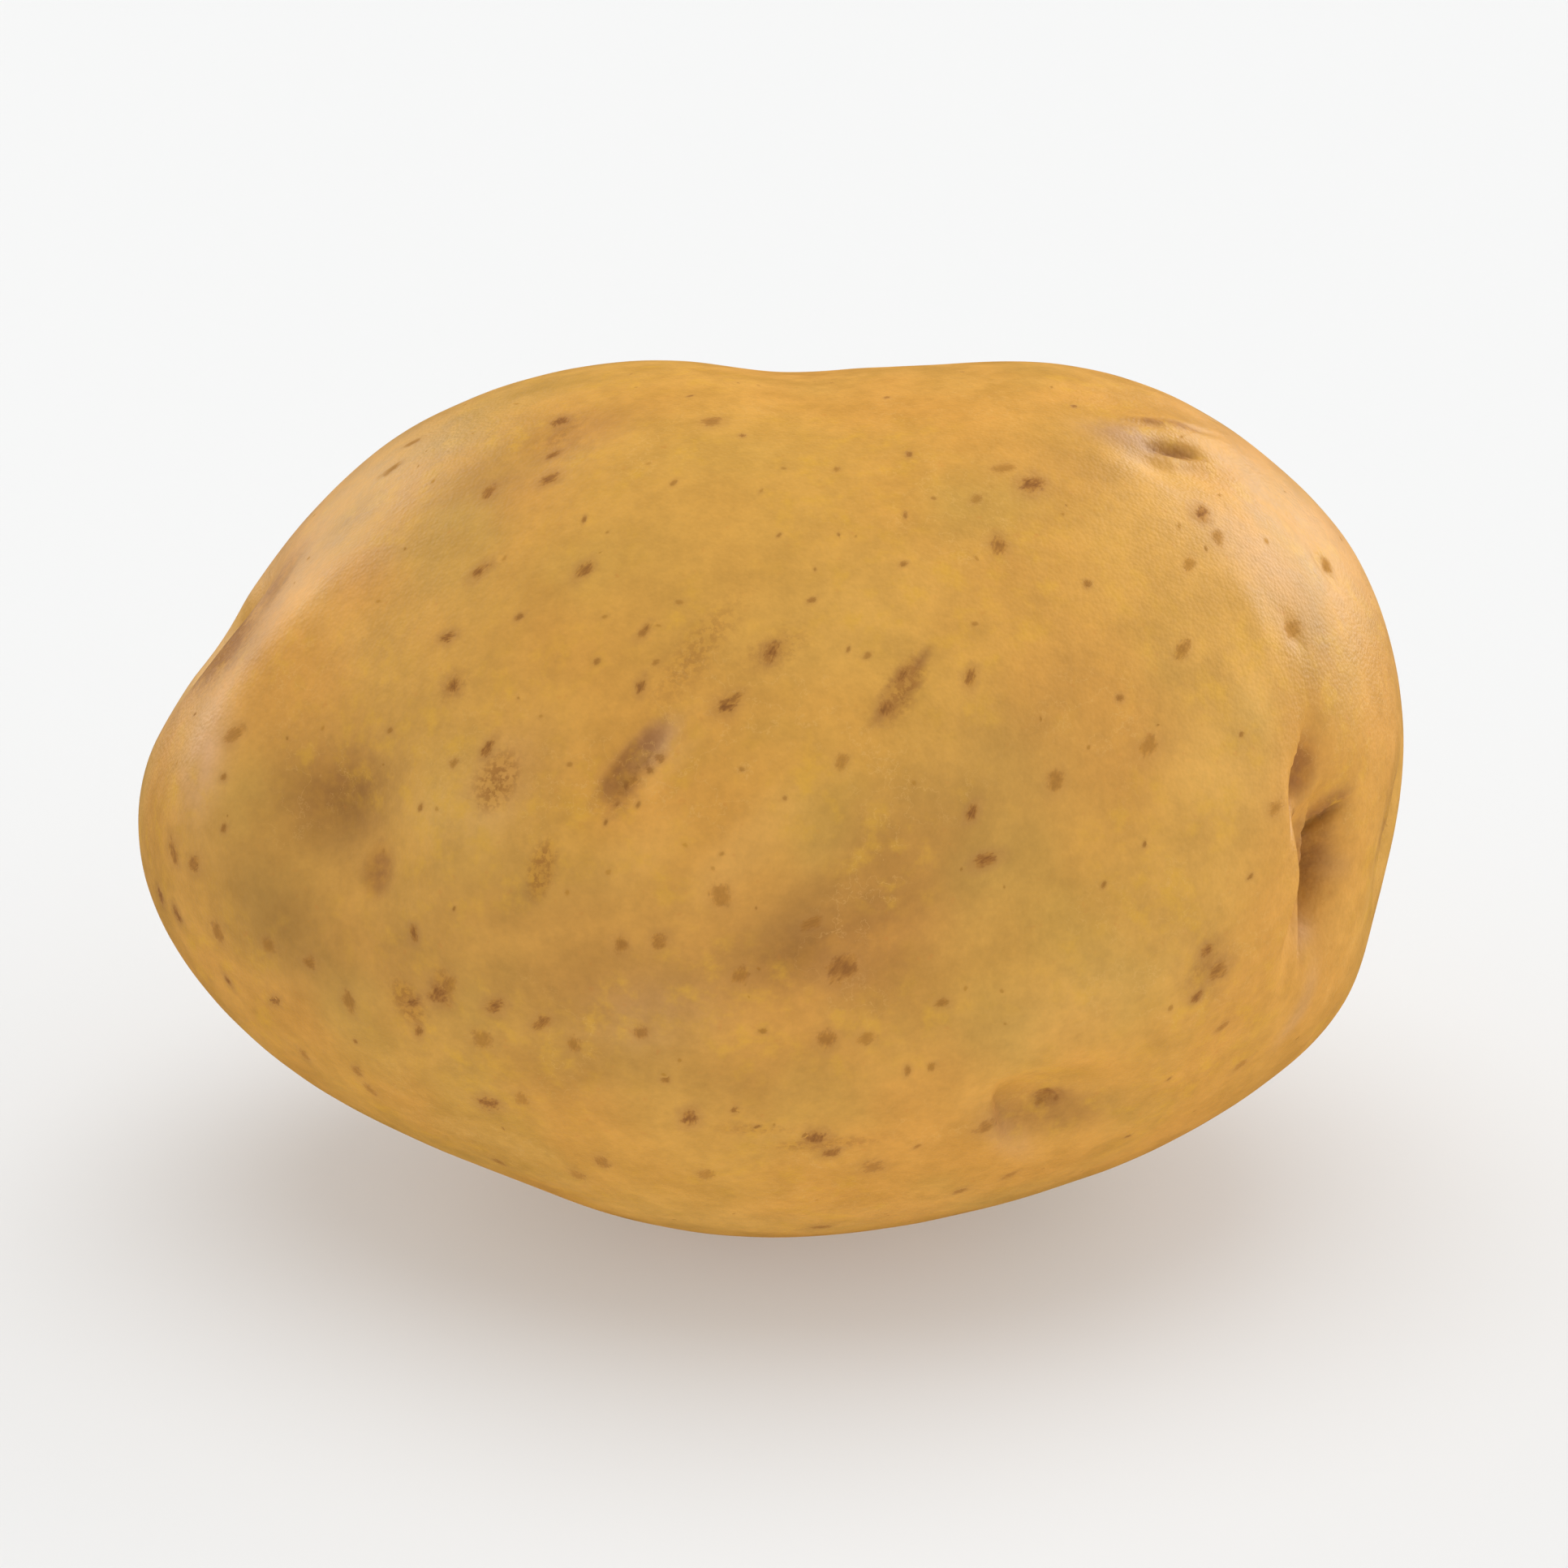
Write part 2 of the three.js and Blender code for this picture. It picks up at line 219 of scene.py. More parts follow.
# %% Forms of the eyes and folds
RELIEF = [
    # the slanting ridge, the trough beside it, a low crest, and the hollow behind the nose
    dict(spot=(930, 1030), long=6.5, short=2.0, lean=44, rise=0.35),
    dict(spot=(1015, 1095), long=7.5, short=2.4, lean=44, rise=-0.35),
    dict(spot=(556, 1010), long=4.5, short=1.8, lean=84, rise=0.3),
    dict(spot=(410, 1000), long=4.6, short=3.4, lean=30, rise=-0.6),
    # the folded right end
    dict(spot=(1604, 1083), long=4.4, short=3.0, lean=90, rise=-2.9, lip=0.3),
    dict(spot=(1596, 1085), long=4.6, short=0.8, lean=90, rise=0.16),
    dict(spot=(1590, 956), long=2.9, short=2.0, lean=80, rise=-1.9, lip=0.3),
    dict(spot=(1634, 1006), long=2.3, short=0.9, lean=34, rise=-1.2, lip=0.3),
    dict(spot=(1636, 1005), long=0.32, short=0.28, lean=0, rise=0.22),
    dict(spot=(1614, 1150), long=0.9, short=0.6, lean=0, rise=0.2),
    dict(spot=(1600, 1200), long=3.4, short=0.5, lean=92, rise=-0.12),
    dict(spot=(1710, 1010), long=4.2, short=1.6, lean=76, rise=-1.0, lip=0.3),
    # the eye at the upper right
    dict(spot=(1445, 557), long=1.8, short=0.4, lean=-9, rise=-0.55, edge=1.5),
    dict(spot=(1420, 553), long=0.9, short=0.35, lean=-9, rise=-0.3),
    dict(spot=(1470, 559), long=0.9, short=0.35, lean=-9, rise=-0.3),
    dict(spot=(1448, 570), long=2.2, short=0.35, lean=-8, rise=0.38),
    dict(spot=(1425, 524), long=2.2, short=0.28, lean=-8, rise=-0.28),
    dict(spot=(1480, 530), long=2.4, short=0.3, lean=-6, rise=-0.22),
    dict(spot=(1388, 538), long=1.7, short=1.0, lean=-20, rise=0.10),
    dict(spot=(1498, 519), long=1.6, short=0.25, lean=-34, rise=-0.18),
    # shallow dents on the right shoulder
    dict(spot=(1634, 700), long=1.6, short=0.8, lean=118, rise=-0.35),
    dict(spot=(1593, 776), long=1.2, short=0.8, lean=110, rise=-0.3),
    dict(spot=(1592, 640), long=2.8, short=1.1, lean=112, rise=-0.2),
    dict(spot=(1545, 760), long=3.2, short=1.4, lean=100, rise=0.18),
    # the eye in the middle, with its row of buds
    dict(spot=(775, 950), long=3.5, short=1.0, lean=48, rise=-0.6, edge=1.4),
    dict(spot=(777, 975), long=0.55, short=0.42, lean=40, rise=0.38),
    dict(spot=(790, 954), long=0.38, short=0.28, lean=20, rise=0.3),
    dict(spot=(765, 1000), long=0.42, short=0.3, lean=45, rise=0.3),
    dict(spot=(809, 942), long=0.4, short=0.3, lean=50, rise=0.28),
    dict(spot=(746, 1013), long=0.3, short=0.2, lean=45, rise=-0.22),
    # the eye at the lower right
    dict(spot=(1226, 1380), long=2.9, short=0.8, lean=128, rise=0.25),
    dict(spot=(1228, 1372), long=3.0, short=2.4, lean=128, rise=-0.9, lip=0.5),
    dict(spot=(1288, 1352), long=1.1, short=0.7, lean=-10, rise=-0.45),
    dict(spot=(1294, 1358), long=0.4, short=0.3, lean=0, rise=0.2),
    dict(spot=(1283, 1335), long=0.6, short=0.18, lean=10, rise=0.1),
    # the eye on the left outline
    dict(spot=(277, 792), long=2.8, short=3.6, lean=90, rise=-1.0, edge=1.6),
    dict(spot=(340, 718), long=3.6, short=1.5, lean=86, rise=-0.25),
    dict(spot=(279, 800), long=0.5, short=0.5, lean=90, rise=0.25),
    dict(spot=(288, 780), long=0.5, short=0.4, lean=90, rise=0.25),
    # small buds and pits elsewhere
    dict(spot=(510, 1132), long=0.45, short=0.35, lean=0, rise=0.22),
    dict(spot=(466, 1074), long=1.3, short=0.9, lean=70, rise=-0.15),
    dict(spot=(1025, 1420), long=0.45, short=0.3, lean=0, rise=0.2),
    dict(spot=(1122, 842), long=2.8, short=0.4, lean=64, rise=-0.25),
    # the eyes on the far side
    dict(spot=("behind", 14.0, 14.2), long=2.3, short=0.6, lean=20, rise=-0.5, edge=1.5),
    dict(spot=("behind", 13.4, 18.0), long=2.8, short=0.3, lean=20, rise=-0.25),
    dict(spot=("behind", -27.0, 2.0), long=2.2, short=0.7, lean=-40, rise=-0.5, edge=1.4),
    dict(spot=("behind", -26.2, 1.4), long=0.5, short=0.4, lean=0, rise=0.3),
    dict(spot=("behind", 33.0, -11.0), long=2.0, short=0.6, lean=55, rise=-0.4, edge=1.4),
    dict(spot=("behind", 13.2, 14.4), long=0.5, short=0.4, lean=0, rise=0.3),
]
print(len(RELIEF), "forms")

# %% [markdown]
# The forms are added up and lift the points of the mesh straight out of the skin. Slight waves are added,
# so that a highlight breaks up as it does on a grown thing. The flat spot on which the tuber rests stays
# as it is.

# %% Relief
WAVE = 6.5 * MM
WAVE_HEIGHT = 0.05 * MM
# how fast finer layers fade, how many times finer each is, and how many there are
WAVE_LAYERS = (1.0, 2.0, 2)
FLAT_SPOT = 0.02 * MM


def steep_side(place, where, lip):
    """0 on one side of a mark's long axis and 1 on the other, over a soft step of twice `lip` mm."""
    _, beside, _ = place.measure(where)
    step = np.clip(beside * place.short / (lip * MM) * 0.5 + 0.5, 0, 1)
    return step * step * (3 - 2 * step)


def heights(where, forms):
    """The rise of the skin at each point, in metres."""
    rise = np.zeros(len(where))
    for form in forms:
        place = Place(line_to(form["spot"]), form["long"], form["short"], form["lean"])
        height = form["rise"] * MM * fade(place, where, form.get("edge", 1.0))
        if "lip" in form:
            height *= steep_side(place, where, form["lip"])
        rise += height
    return rise


def waves(where):
    """The height of the waves at each point, in metres."""
    return np.array([noise.fractal(Vector(p) / WAVE, *WAVE_LAYERS) for p in where]) * WAVE_HEIGHT


relief = heights(points, RELIEF)
risen = points + outward * (relief + waves(points))[:, None]
risen[:, 2] = np.maximum(risen[:, 2], FLOOR_LEVEL)
resting = points[:, 2] < FLAT_SPOT
risen[resting] = points[resting]
skin_mesh.vertices.foreach_set("co", risen.astype(np.float32).ravel())
skin_mesh.update()
print("relief from", round(relief.min() / MM, 2), "mm to", round(relief.max() / MM, 2), "mm")

# %% [markdown]
# Larger patches differ in colour: brown where the skin is rough in a hollow, pink on a brow, olive where
# light has reached it. Inside the folds of the right end the brown is partly painted shade, and on the nose
# and the right shoulder a pink patch is a painted highlight. They could be painted on the mesh by hand, but
# a list of soft ellipses is easier to move and to mend. Each line gives a patch's spot, half its length and
# half its width in millimetres, its lean in degrees and its strength. A last number, where there is one,
# makes its edge firmer.

# %% Patches of colour
BROWN_AND_SHADE_PATCHES = [
    ((425, 975), 4.8, 3.2, 14, 0.62),
    ((466, 1072), 2.1, 1.4, 70, 0.85, 2),
    ((277, 795), 3.6, 4.8, 90, 0.95, 2),
    ((336, 722), 3.4, 2.4, 88, 0.6),
    ((778, 938), 3.7, 1.0, 50, 0.8, 3),
    ((770, 985), 1.6, 0.8, 48, 0.6, 2),
    ((1445, 556), 2.3, 0.5, -8, 1.0, 2),
    ((1440, 520), 3.8, 0.45, -8, 0.9, 2),
    ((1298, 1362), 3.6, 2.0, 0, 0.35),
    ((1295, 1352), 1.5, 1.0, 0, 0.7, 2),
    ((1230, 1375), 2.4, 0.8, -50, 0.35),
    # painted shade: the dark inside the folds of the right end, darkest by the wall
    ((1618, 1065), 2.0, 3.8, 0, 0.85, 2),
    ((1604, 950), 1.3, 2.5, 0, 0.85, 2),
    ((1638, 1000), 2.4, 0.9, 36, 0.95, 2),
    ((1708, 1005), 3.8, 0.7, 76, 0.6),
    ((1030, 1170), 6.5, 3.2, 20, 0.45),
    ((710, 535), 4.6, 2.6, 30, 0.4),
    ((600, 590), 3.4, 2.2, 20, 0.35),
    ((1490, 1190), 2.6, 3.0, 60, 0.3),
    ((1123, 840), 2.8, 0.34, 64, 0.95, 2),
    (("behind", 14.0, 14.2), 2.6, 0.9, 20, 0.9, 2),
    (("behind", 13.4, 17.8), 3.2, 0.6, 20, 0.5),
    (("behind", -27.0, 2.0), 2.8, 1.2, -40, 0.85, 2),
    (("behind", 33.0, -11.0), 2.6, 1.1, 55, 0.85, 2),
    (("behind", -12.0, 6.0), 5.0, 2.6, -35, 0.4),
    (("behind", 4.0, -16.0), 3.0, 2.0, 20, 0.35),
    ((1096, 858), 2.4, 0.3, 60, 0.8, 2),
    ((1037, 1192), 1.4, 1.1, 30, 0.5),
]
PINK_AND_HIGHLIGHT_PATCHES = [
    ((805, 918), 2.4, 1.1, 48, 0.8, 2),
    ((1385, 535), 3.0, 1.5, -20, 0.8),
    (("behind", 10.0, 19.0), 4.0, 2.0, 20, 0.6),
    (("behind", -30.0, 5.0), 4.0, 2.4, -40, 0.5),
    ((800, 1250), 5.0, 3.0, 10, 0.35),
    ((1240, 1400), 4.0, 1.2, -35, 0.4),
    # painted highlight: the pinkish sheen on the right shoulder
    ((1560, 700), 5.0, 3.0, -50, 0.4),
    ((1612, 1150), 1.4, 1.4, 0, 0.6),
    ((1605, 1240), 3.4, 1.0, 92, 0.5),
    ((620, 960), 4.0, 2.6, 50, 0.3),
    # painted highlight: the pale pinkish gloss on the nose
    ((248, 930), 4.6, 2.4, 78, 0.75),
    ((460, 690), 3.0, 2.0, 60, 0.3),
    ((1650, 1070), 1.6, 1.0, 0, 0.3),
]
OLIVE_PATCHES = [
    ((1250, 900), 7.0, 4.0, 30, 0.12),
    ((560, 640), 5.0, 4.0, 0, 0.5),
    ((700, 700), 6.0, 3.0, 20, 0.4),
    ((1240, 620), 5.0, 3.0, 10, 0.5),
    ((300, 980), 4.0, 3.4, 60, 0.5),
    ((1040, 1000), 4.0, 3.0, 30, 0.2),
    ((700, 1290), 7.0, 4.0, 0, 0.35),
    ((900, 560), 5.0, 3.0, 0, 0.3),
    (("behind", 24.0, 4.0), 8.0, 5.0, 30, 0.4),
    (("behind", -18.0, -8.0), 7.0, 5.0, -20, 0.4),
    ((340, 1090), 5.0, 4.0, 40, 0.35),
]
print(len(BROWN_AND_SHADE_PATCHES), "brown,", len(PINK_AND_HIGHLIGHT_PATCHES), "pink and", len(OLIVE_PATCHES), "olive patches")

# %% [markdown]
# Other patches paint light and shade into the colour of the skin: painted shade in the hollows, the trough,
# the crater and the folds, and where a highlight came out too strong; painted highlight and sheen on the
# crests, the shoulders, the nose and along the belly, which the floor lights. Here and there the skin is
# russet, netted with cork. They are given in the same way.

# %% Patches of painted shade, painted light and russet
# painted shade: each darkens the colour where shade falls
PAINTED_SHADE_PATCHES = [
    ((1110, 1075), 9.5, 4.6, 44, 0.8),
    ((962, 1165), 5.2, 3.4, 30, 1.0),
    ((1000, 1112), 6.0, 2.0, 40, 1.0),
    ((1625, 800), 3.0, 6.0, 0, 0.5),
    ((1250, 925), 6.5, 4.0, 40, 0.38),
    ((1090, 1200), 3.6, 2.6, 20, 0.7),
    ((760, 1215), 12.0, 3.6, 2, 0.75),
    ((520, 1190), 5.0, 4.0, -10, 0.6),
    ((730, 1315), 9.0, 3.0, 8, 0.52),
    ((650, 1110), 6.0, 2.6, 10, 0.5),
    ((900, 1330), 5.0, 3.0, 0, 0.5),
    ((345, 1135), 7.0, 4.6, -40, 0.95),
    ((400, 990), 5.4, 4.4, 20, 0.82),
    ((1240, 1378), 1.6, 1.3, -50, 0.3),
    ((1310, 1372), 4.0, 1.8, 0, 0.6),
    ((1330, 570), 4.2, 2.0, -20, 0.5),
    ((312, 802), 1.6, 3.2, 60, 0.5),
    (("behind", -12.0, 6.0), 11.0, 5.5, -35, 0.7),
    (("behind", 6.0, -18.0), 14.0, 5.0, 10, 0.5),
    ((1515, 520), 2.6, 1.6, -40, 0.6),
    ((430, 640), 3.2, 1.8, 55, 0.5),
    ((1622, 1070), 3.6, 1.6, 88, 0.35),
    ((1405, 545), 4.6, 1.9, -12, 0.8),
]
# painted light: each lightens and pales the colour where a highlight or sheen falls
PAINTED_LIGHT_PATCHES = [
    ((925, 1035), 5.6, 1.6, 44, 1.0),
    ((822, 945), 3.4, 0.8, 48, 0.9),
    ((1548, 860), 2.0, 4.0, 0, 0.8),
    ((790, 1050), 4.0, 2.0, 30, 0.5),
    ((830, 900), 3.6, 1.2, 48, 0.4),
    ((556, 1010), 1.6, 4.6, 84, 0.55),
    ((252, 920), 4.6, 2.2, 78, 0.9),
    ((385, 745), 1.8, 5.6, 60, 0.75),
    ((1520, 950), 3.0, 7.0, 80, 0.5),
    ((1330, 1240), 7.0, 3.4, 30, 0.55),
    ((1050, 760), 9.0, 5.0, 30, 0.35),
    ((590, 1400), 6.0, 1.8, -30, 0.5),
    ((960, 1510), 24.0, 5.0, 0, 0.9),
    ((1455, 592), 3.4, 0.9, -12, 0.5),
]
RUSSET_PATCHES = [
    ((612, 962), 2.2, 1.5, 62, 1.0, 2),
    ((667, 1072), 2.2, 0.9, 72, 1.0, 2),
    ((1112, 848), 2.8, 1.0, 62, 1.0, 2),
    ((503, 1236), 1.9, 1.2, 100, 0.9, 2),
    ((546, 1218), 1.7, 0.9, 80, 0.8, 2),
    ((1010, 1410), 4.0, 0.7, 6, 0.7),
    ((930, 1392), 2.6, 0.6, -4, 0.5),
    ((278, 795), 4.0, 5.0, 90, 1.0),
    ((330, 730), 4.0, 3.0, 88, 0.5),
    ((692, 535), 2.4, 0.8, 66, 0.6),
    ((952, 802), 1.3, 0.7, 30, 0.7),
    ((777, 962), 2.4, 0.5, 48, 0.9),
    ((1292, 1352), 1.0, 0.7, 20, 0.9),
    (("behind", 14.0, 14.0), 2.4, 0.8, 20, 0.9),
    (("behind", -27.0, 2.0), 2.4, 1.0, -40, 0.9),
    (("behind", -4.0, 12.0), 2.4, 1.2, -50, 0.9, 2),
    (("behind", 20.0, -9.0), 2.6, 1.0, 70, 0.8, 2),
    (("behind", -20.0, -13.0), 2.0, 1.4, 20, 0.9, 2),
    (("behind", 3.0, -4.0), 3.4, 0.9, -60, 0.6),
    ((1485, 1190), 1.9, 1.2, 60, 0.5),
    ((860, 800), 4.4, 1.3, 55, 0.55),
    ((955, 800), 2.4, 1.2, 30, 0.5),
    ((560, 845), 1.4, 1.0, 40, 0.5),
]
print(len(PAINTED_SHADE_PATCHES), "dull,", len(PAINTED_LIGHT_PATCHES), "clear and", len(RUSSET_PATCHES), "russet patches")

# %% [markdown]
# Where patches of one kind overlap, the strongest holds. Their strength is stored on the points of the
# mesh as attributes, which the finish reads and breaks up, so that no patch has a drawn edge.

# %% Patches on the mesh
SOFT_EDGE = 1.2
CLEARLY_THERE = 0.2


def strength_of(patches, where):
    """The strongest patch at each point, from 0 to 1."""
    strongest = np.zeros(len(where))
    for spot, long, short, lean, strength, *edge in patches:
        place = Place(line_to(spot), long, short, lean)
        strongest = np.maximum(strongest, strength * fade(place, where, *(edge or [SOFT_EDGE])))
    return strongest


def store(name, values, domain="POINT"):
    """Keeps three numbers for each point or corner of the skin."""
    layer = skin_mesh.attributes.new(name, "FLOAT_VECTOR", domain)
    layer.data.foreach_set("vector", np.asarray(values, np.float32).ravel())


patches = np.stack([strength_of(group, points) for group in (BROWN_AND_SHADE_PATCHES, PINK_AND_HIGHLIGHT_PATCHES, OLIVE_PATCHES)], 1)
store("patches", patches)
# painted shade, painted light and russet, in that order
painted_shade_light_russet = np.stack([strength_of(group, points) for group in (PAINTED_SHADE_PATCHES, PAINTED_LIGHT_PATCHES, RUSSET_PATCHES)], 1)
store("painted_shade_light_russet", painted_shade_light_russet)
print("points in a brown, pink and olive patch:", (patches > CLEARLY_THERE).sum(0))
print("points in a dull, clear and russet patch:", (painted_shade_light_russet > CLEARLY_THERE).sum(0))

# %% [markdown]
# A tuber breathes through lenticels, specks of corky tissue a millimetre or two across. Some are corky
# and dark, some soft and blurred, and some tiny. The ones that catch the eye are where the photograph has
# them, so each is given by its pixel, with a third number where it is larger or smaller than its kind.

# %% Where the specks are
CORKY = [
    (603, 605), (592, 703), (552, 785), (558, 845), (793, 778), (683, 560), (676, 590), (690, 520),
    (903, 862), (895, 870), (790, 846), (602, 921), (510, 1150), (508, 1235), (609, 1240), (667, 1260),
    (1271, 597), (1230, 672), (1196, 835), (1112, 832), (1092, 872), (1213, 1060), (1198, 1000),
    (1037, 1192, 1.4), (1488, 1170), (1500, 1195), (1474, 1228), (1290, 1350), (338, 1233), (282, 1210),
    (238, 1065), (213, 1050), (198, 1103), (219, 1128), (603, 1360), (850, 1377), (1025, 1420),
    (1005, 1402), (1480, 632), (720, 702), (950, 803), (516, 1270), (540, 1225),
]
SOFT = [
    (1457, 800), (1415, 918), (1300, 962), (1465, 695), (1500, 662), (1593, 775), (1636, 695),
    (1203, 614), (1161, 1236, 0.8), (1018, 1279), (1068, 1279), (1000, 1140), (913, 1202),
    (1118, 1319, 0.5), (1147, 1315, 0.5), (888, 1102), (708, 1287), (790, 1273), (430, 1235), (440, 1320),
    (381, 1186), (332, 1165), (268, 1148), (289, 905), (1215, 1387), (1183, 1468), (1075, 1438),
    (643, 1355), (457, 1343), (375, 1300), (552, 1215), (594, 1280), (877, 520), (1037, 938),
    (1528, 1312), (1506, 1265), (1572, 995), (742, 1432), (615, 1432), (1012, 1512), (1245, 1448),
    (712, 1448), (508, 545), (483, 578), (1237, 577), (870, 1447), (765, 1165), (812, 1160),
]
TINY = [
    (518, 995), (275, 958), (240, 880), (276, 1020), (343, 1233), (438, 1283), (915, 537), (830, 595),
    (850, 488), (1093, 490), (1323, 500), (1030, 578), (1068, 808), (933, 1388), (905, 1367), (992, 1398),
    (1130, 1413), (1115, 635), (1113, 695), (808, 815), (1045, 800), (720, 640), (640, 760), (1340, 720),
    (1380, 860), (960, 660), (1000, 740), (1120, 560), (1410, 1040), (1360, 1090), (940, 1270),
    (560, 940), (735, 815), (1530, 905), (1540, 1080), (1440, 1330), (1390, 1400), (820, 1330),
    (500, 1400), (560, 1120), (480, 900), (746, 1013), (786, 992), (771, 968), (801, 950), (813, 934),
    (761, 990), (1290, 1345), (1282, 1360), (1302, 1354),
]
KINDS = {  # the specks, half their length in mm, how dark and how crumbly they are
    "corky": (CORKY, 1.0, 0.9, 1.0),
    "soft": (SOFT, 0.95, 0.5, 0.5),
    "tiny": (TINY, 0.38, 0.6, 0.6),
}
print({kind: len(spots) for kind, (spots, *_) in KINDS.items()}, "specks by their pixels")

# %% [markdown]
# A skin with the marked specks alone would look bald on the far side and too clean on the near one. So
# specks of the usual sizes are scattered where the photograph shows no skin, and faint ones all over. One
# seeded source of chance makes all of them the same at every run. A pair of numbers below is the range
# that is drawn from.

# %% Every speck
SEED = 11
UNSEEN_SPECKS = 320
FAINT_SPECKS = 240
UNSEEN_SIZES = (0.32, 0.6, 0.95)
FAINT_SIZE = (0.15, 0.35)
TIMES_ITS_SIZE = (0.8, 1.3)
WIDTH_TO_LENGTH = (0.5, 0.9)
SEEN_LEAN = (10, 90)
ANY_LEAN = (0, 180)
TIMES_AS_DARK = (0.75, 1.1)
UNSEEN_DARK = (0.5, 0.95)
FAINT_DARK = (0.2, 0.45)
CRUMBLY = (0.3, 1)
LOWEST_SIDE = -0.95
TURNED_AWAY = 0.12  # skin that faces the camera by less than this is hardly seen


def line_from_outside(chance):
    """A line towards the middle of the tuber from a random side, but never from straight below."""
    height = chance.uniform(LOWEST_SIDE, 1)
    around = chance.uniform(0, 2 * math.pi)
    level = math.sqrt(1 - height * height)
    towards = Vector((level * math.cos(around), level * math.sin(around), height))
    return middle + towards, -towards


def seen_specks(chance):
    """The specks of the photograph, each with its place, darkness, crumbliness and own random number."""
    for spots, size, dark, crumbly in KINDS.values():
        for x, y, *times in spots:
            long = size * chance.uniform(*TIMES_ITS_SIZE) * (times or [1])[0]
            short = long * chance.uniform(*WIDTH_TO_LENGTH)
            place = Place(line_to((x, y)), long, short, chance.uniform(*SEEN_LEAN))
            yield place, dark * chance.uniform(*TIMES_AS_DARK), crumbly, chance.random()


def usual_size(chance):
    """Half the length of a speck of one of the usual sizes, in millimetres."""
    return chance.choice(UNSEEN_SIZES) * chance.uniform(*TIMES_ITS_SIZE)


def scattered_specks(chance, tries, faint):
    """Faint specks all over the skin, or usual ones where the photograph shows no skin."""
    for _ in range(tries):
        long = chance.uniform(*FAINT_SIZE) if faint else usual_size(chance)
        line = line_from_outside(chance)
        short = long * chance.uniform(*WIDTH_TO_LENGTH)
        place = Place(line, long, short, chance.uniform(*ANY_LEAN))
        dark = chance.uniform(*(FAINT_DARK if faint else UNSEEN_DARK))
        crumbly = chance.uniform(*CRUMBLY)
        own = chance.random()
        if faint or place.out.dot(BACK) < TURNED_AWAY:
            yield place, dark, crumbly, own


chance = random.Random(SEED)
specks = [
    *seen_specks(chance),
    *scattered_specks(chance, UNSEEN_SPECKS, faint=False),
    *scattered_specks(chance, FAINT_SPECKS, faint=True),
]
print(len(specks), "specks in all")

# %% [markdown]
# A mesh fine enough to paint specks on its points would be far too heavy. Instead, each corner of a face
# near a speck remembers where it lies within that speck: how far along and across, with the middle at 0
# and the edge at 1. The finish then draws a crisp, ragged ellipse from those two numbers at any size of
# picture.

# %% Specks on the mesh
REACH = 2.0  # how many times its own size a speck is felt, halo included
SEARCHED = 2.5  # faces this many times its size away are looked at
FAR_AWAY = 9.0


def corner_places(specks):
    """For each corner of each face: its place within the nearest speck, and what that speck is like."""
    corners = read(skin_mesh.loops, "vertex_index", 1).astype(int).reshape(-1, 3)
    middles = points[corners].mean(1)
    nearest = np.full(len(corners), REACH)
    within = np.full((len(corners), 3, 3), FAR_AWAY)
    likeness = np.zeros((len(corners), 3, 3))
    for place, dark, crumbly, own in specks:
        near = np.flatnonzero(np.abs(middles - np.array(place.centre)).max(1) < SEARCHED * place.long)
        along, beside, above = place.measure(middles[near])
        apart = np.hypot(along, beside) + (np.abs(above) > DEPTH_FELT / 2) * FAR_AWAY
        closer = apart < nearest[near]
        chosen = near[closer]
        nearest[chosen] = apart[closer]
        along, beside, _ = place.measure(points[corners[chosen]].reshape(-1, 3))
        within[chosen, :, 0] = along.reshape(-1, 3)
        within[chosen, :, 1] = beside.reshape(-1, 3)
        within[chosen, :, 2] = own
        likeness[chosen, :, 0] = dark
        likeness[chosen, :, 1] = crumbly
    return within, likeness


within, likeness = corner_places(specks)
store("within speck", within, "CORNER")
store("speck likeness", likeness, "CORNER")
print(int((within[:, 0, 0] < FAR_AWAY).sum()), "faces lie near a speck")

# %% [markdown]
# The finish is drawn with nodes. Five helpers keep the lines short: one adds a node and fills its
# sockets, one does sums, one turns a range of a value into a soft step, one lays a colour over another,
# and one makes cloudy noise of a real size. Everything is measured on the object's own coordinates, so
# nothing stretches.

# %% Helpers for the finish
MIX_UNDER = 6  # a Mix node has several sockets of one name, so its colour sockets go by their numbers
MIX_OVER = 7
MIX_RESULT = 2

skin = bpy.data.materials.new("potato skin")
skin.use_nodes = True
tree = skin.node_tree
tree.nodes.clear()


def add(kind, inputs=None, **settings):
    """Adds a shader node to the tree, and links or sets its sockets."""
    made = tree.nodes.new("ShaderNode" + kind)
    for name, value in settings.items():
        setattr(made, name, value)
    for socket, value in (inputs or {}).items():
        if isinstance(value, bpy.types.NodeSocket):
            tree.links.new(value, made.inputs[socket])
        else:
            made.inputs[socket].default_value = value
    return made


def sum_of(operation, *values):
    """The result of a sum on sockets or numbers."""
    return add("Math", dict(enumerate(values)), operation=operation).outputs[0]


def soft_step(value, start, end, low=0.0, high=1.0):
    """Low before the start, high beyond the end, and a soft slope between them."""
    settings = {"Value": value, "From Min": start, "From Max": end, "To Min": low, "To Max": high}
    return add("MapRange", settings, interpolation_type="SMOOTHSTEP").outputs[0]


def blend(amount, under, over, mode="MIX"):
    """One colour laid over another by so much, mixed or multiplied."""
    made = add("Mix", {0: amount}, data_type="RGBA", blend_type=mode)
    for socket, colour in ((made.inputs[MIX_UNDER], under), (made.inputs[MIX_OVER], over)):
        if isinstance(colour, bpy.types.NodeSocket):
            tree.links.new(colour, socket)
        else:
            socket.default_value = (*colour, 1)
    return made.outputs[MIX_RESULT]


on_skin = add("TexCoord").outputs["Object"]


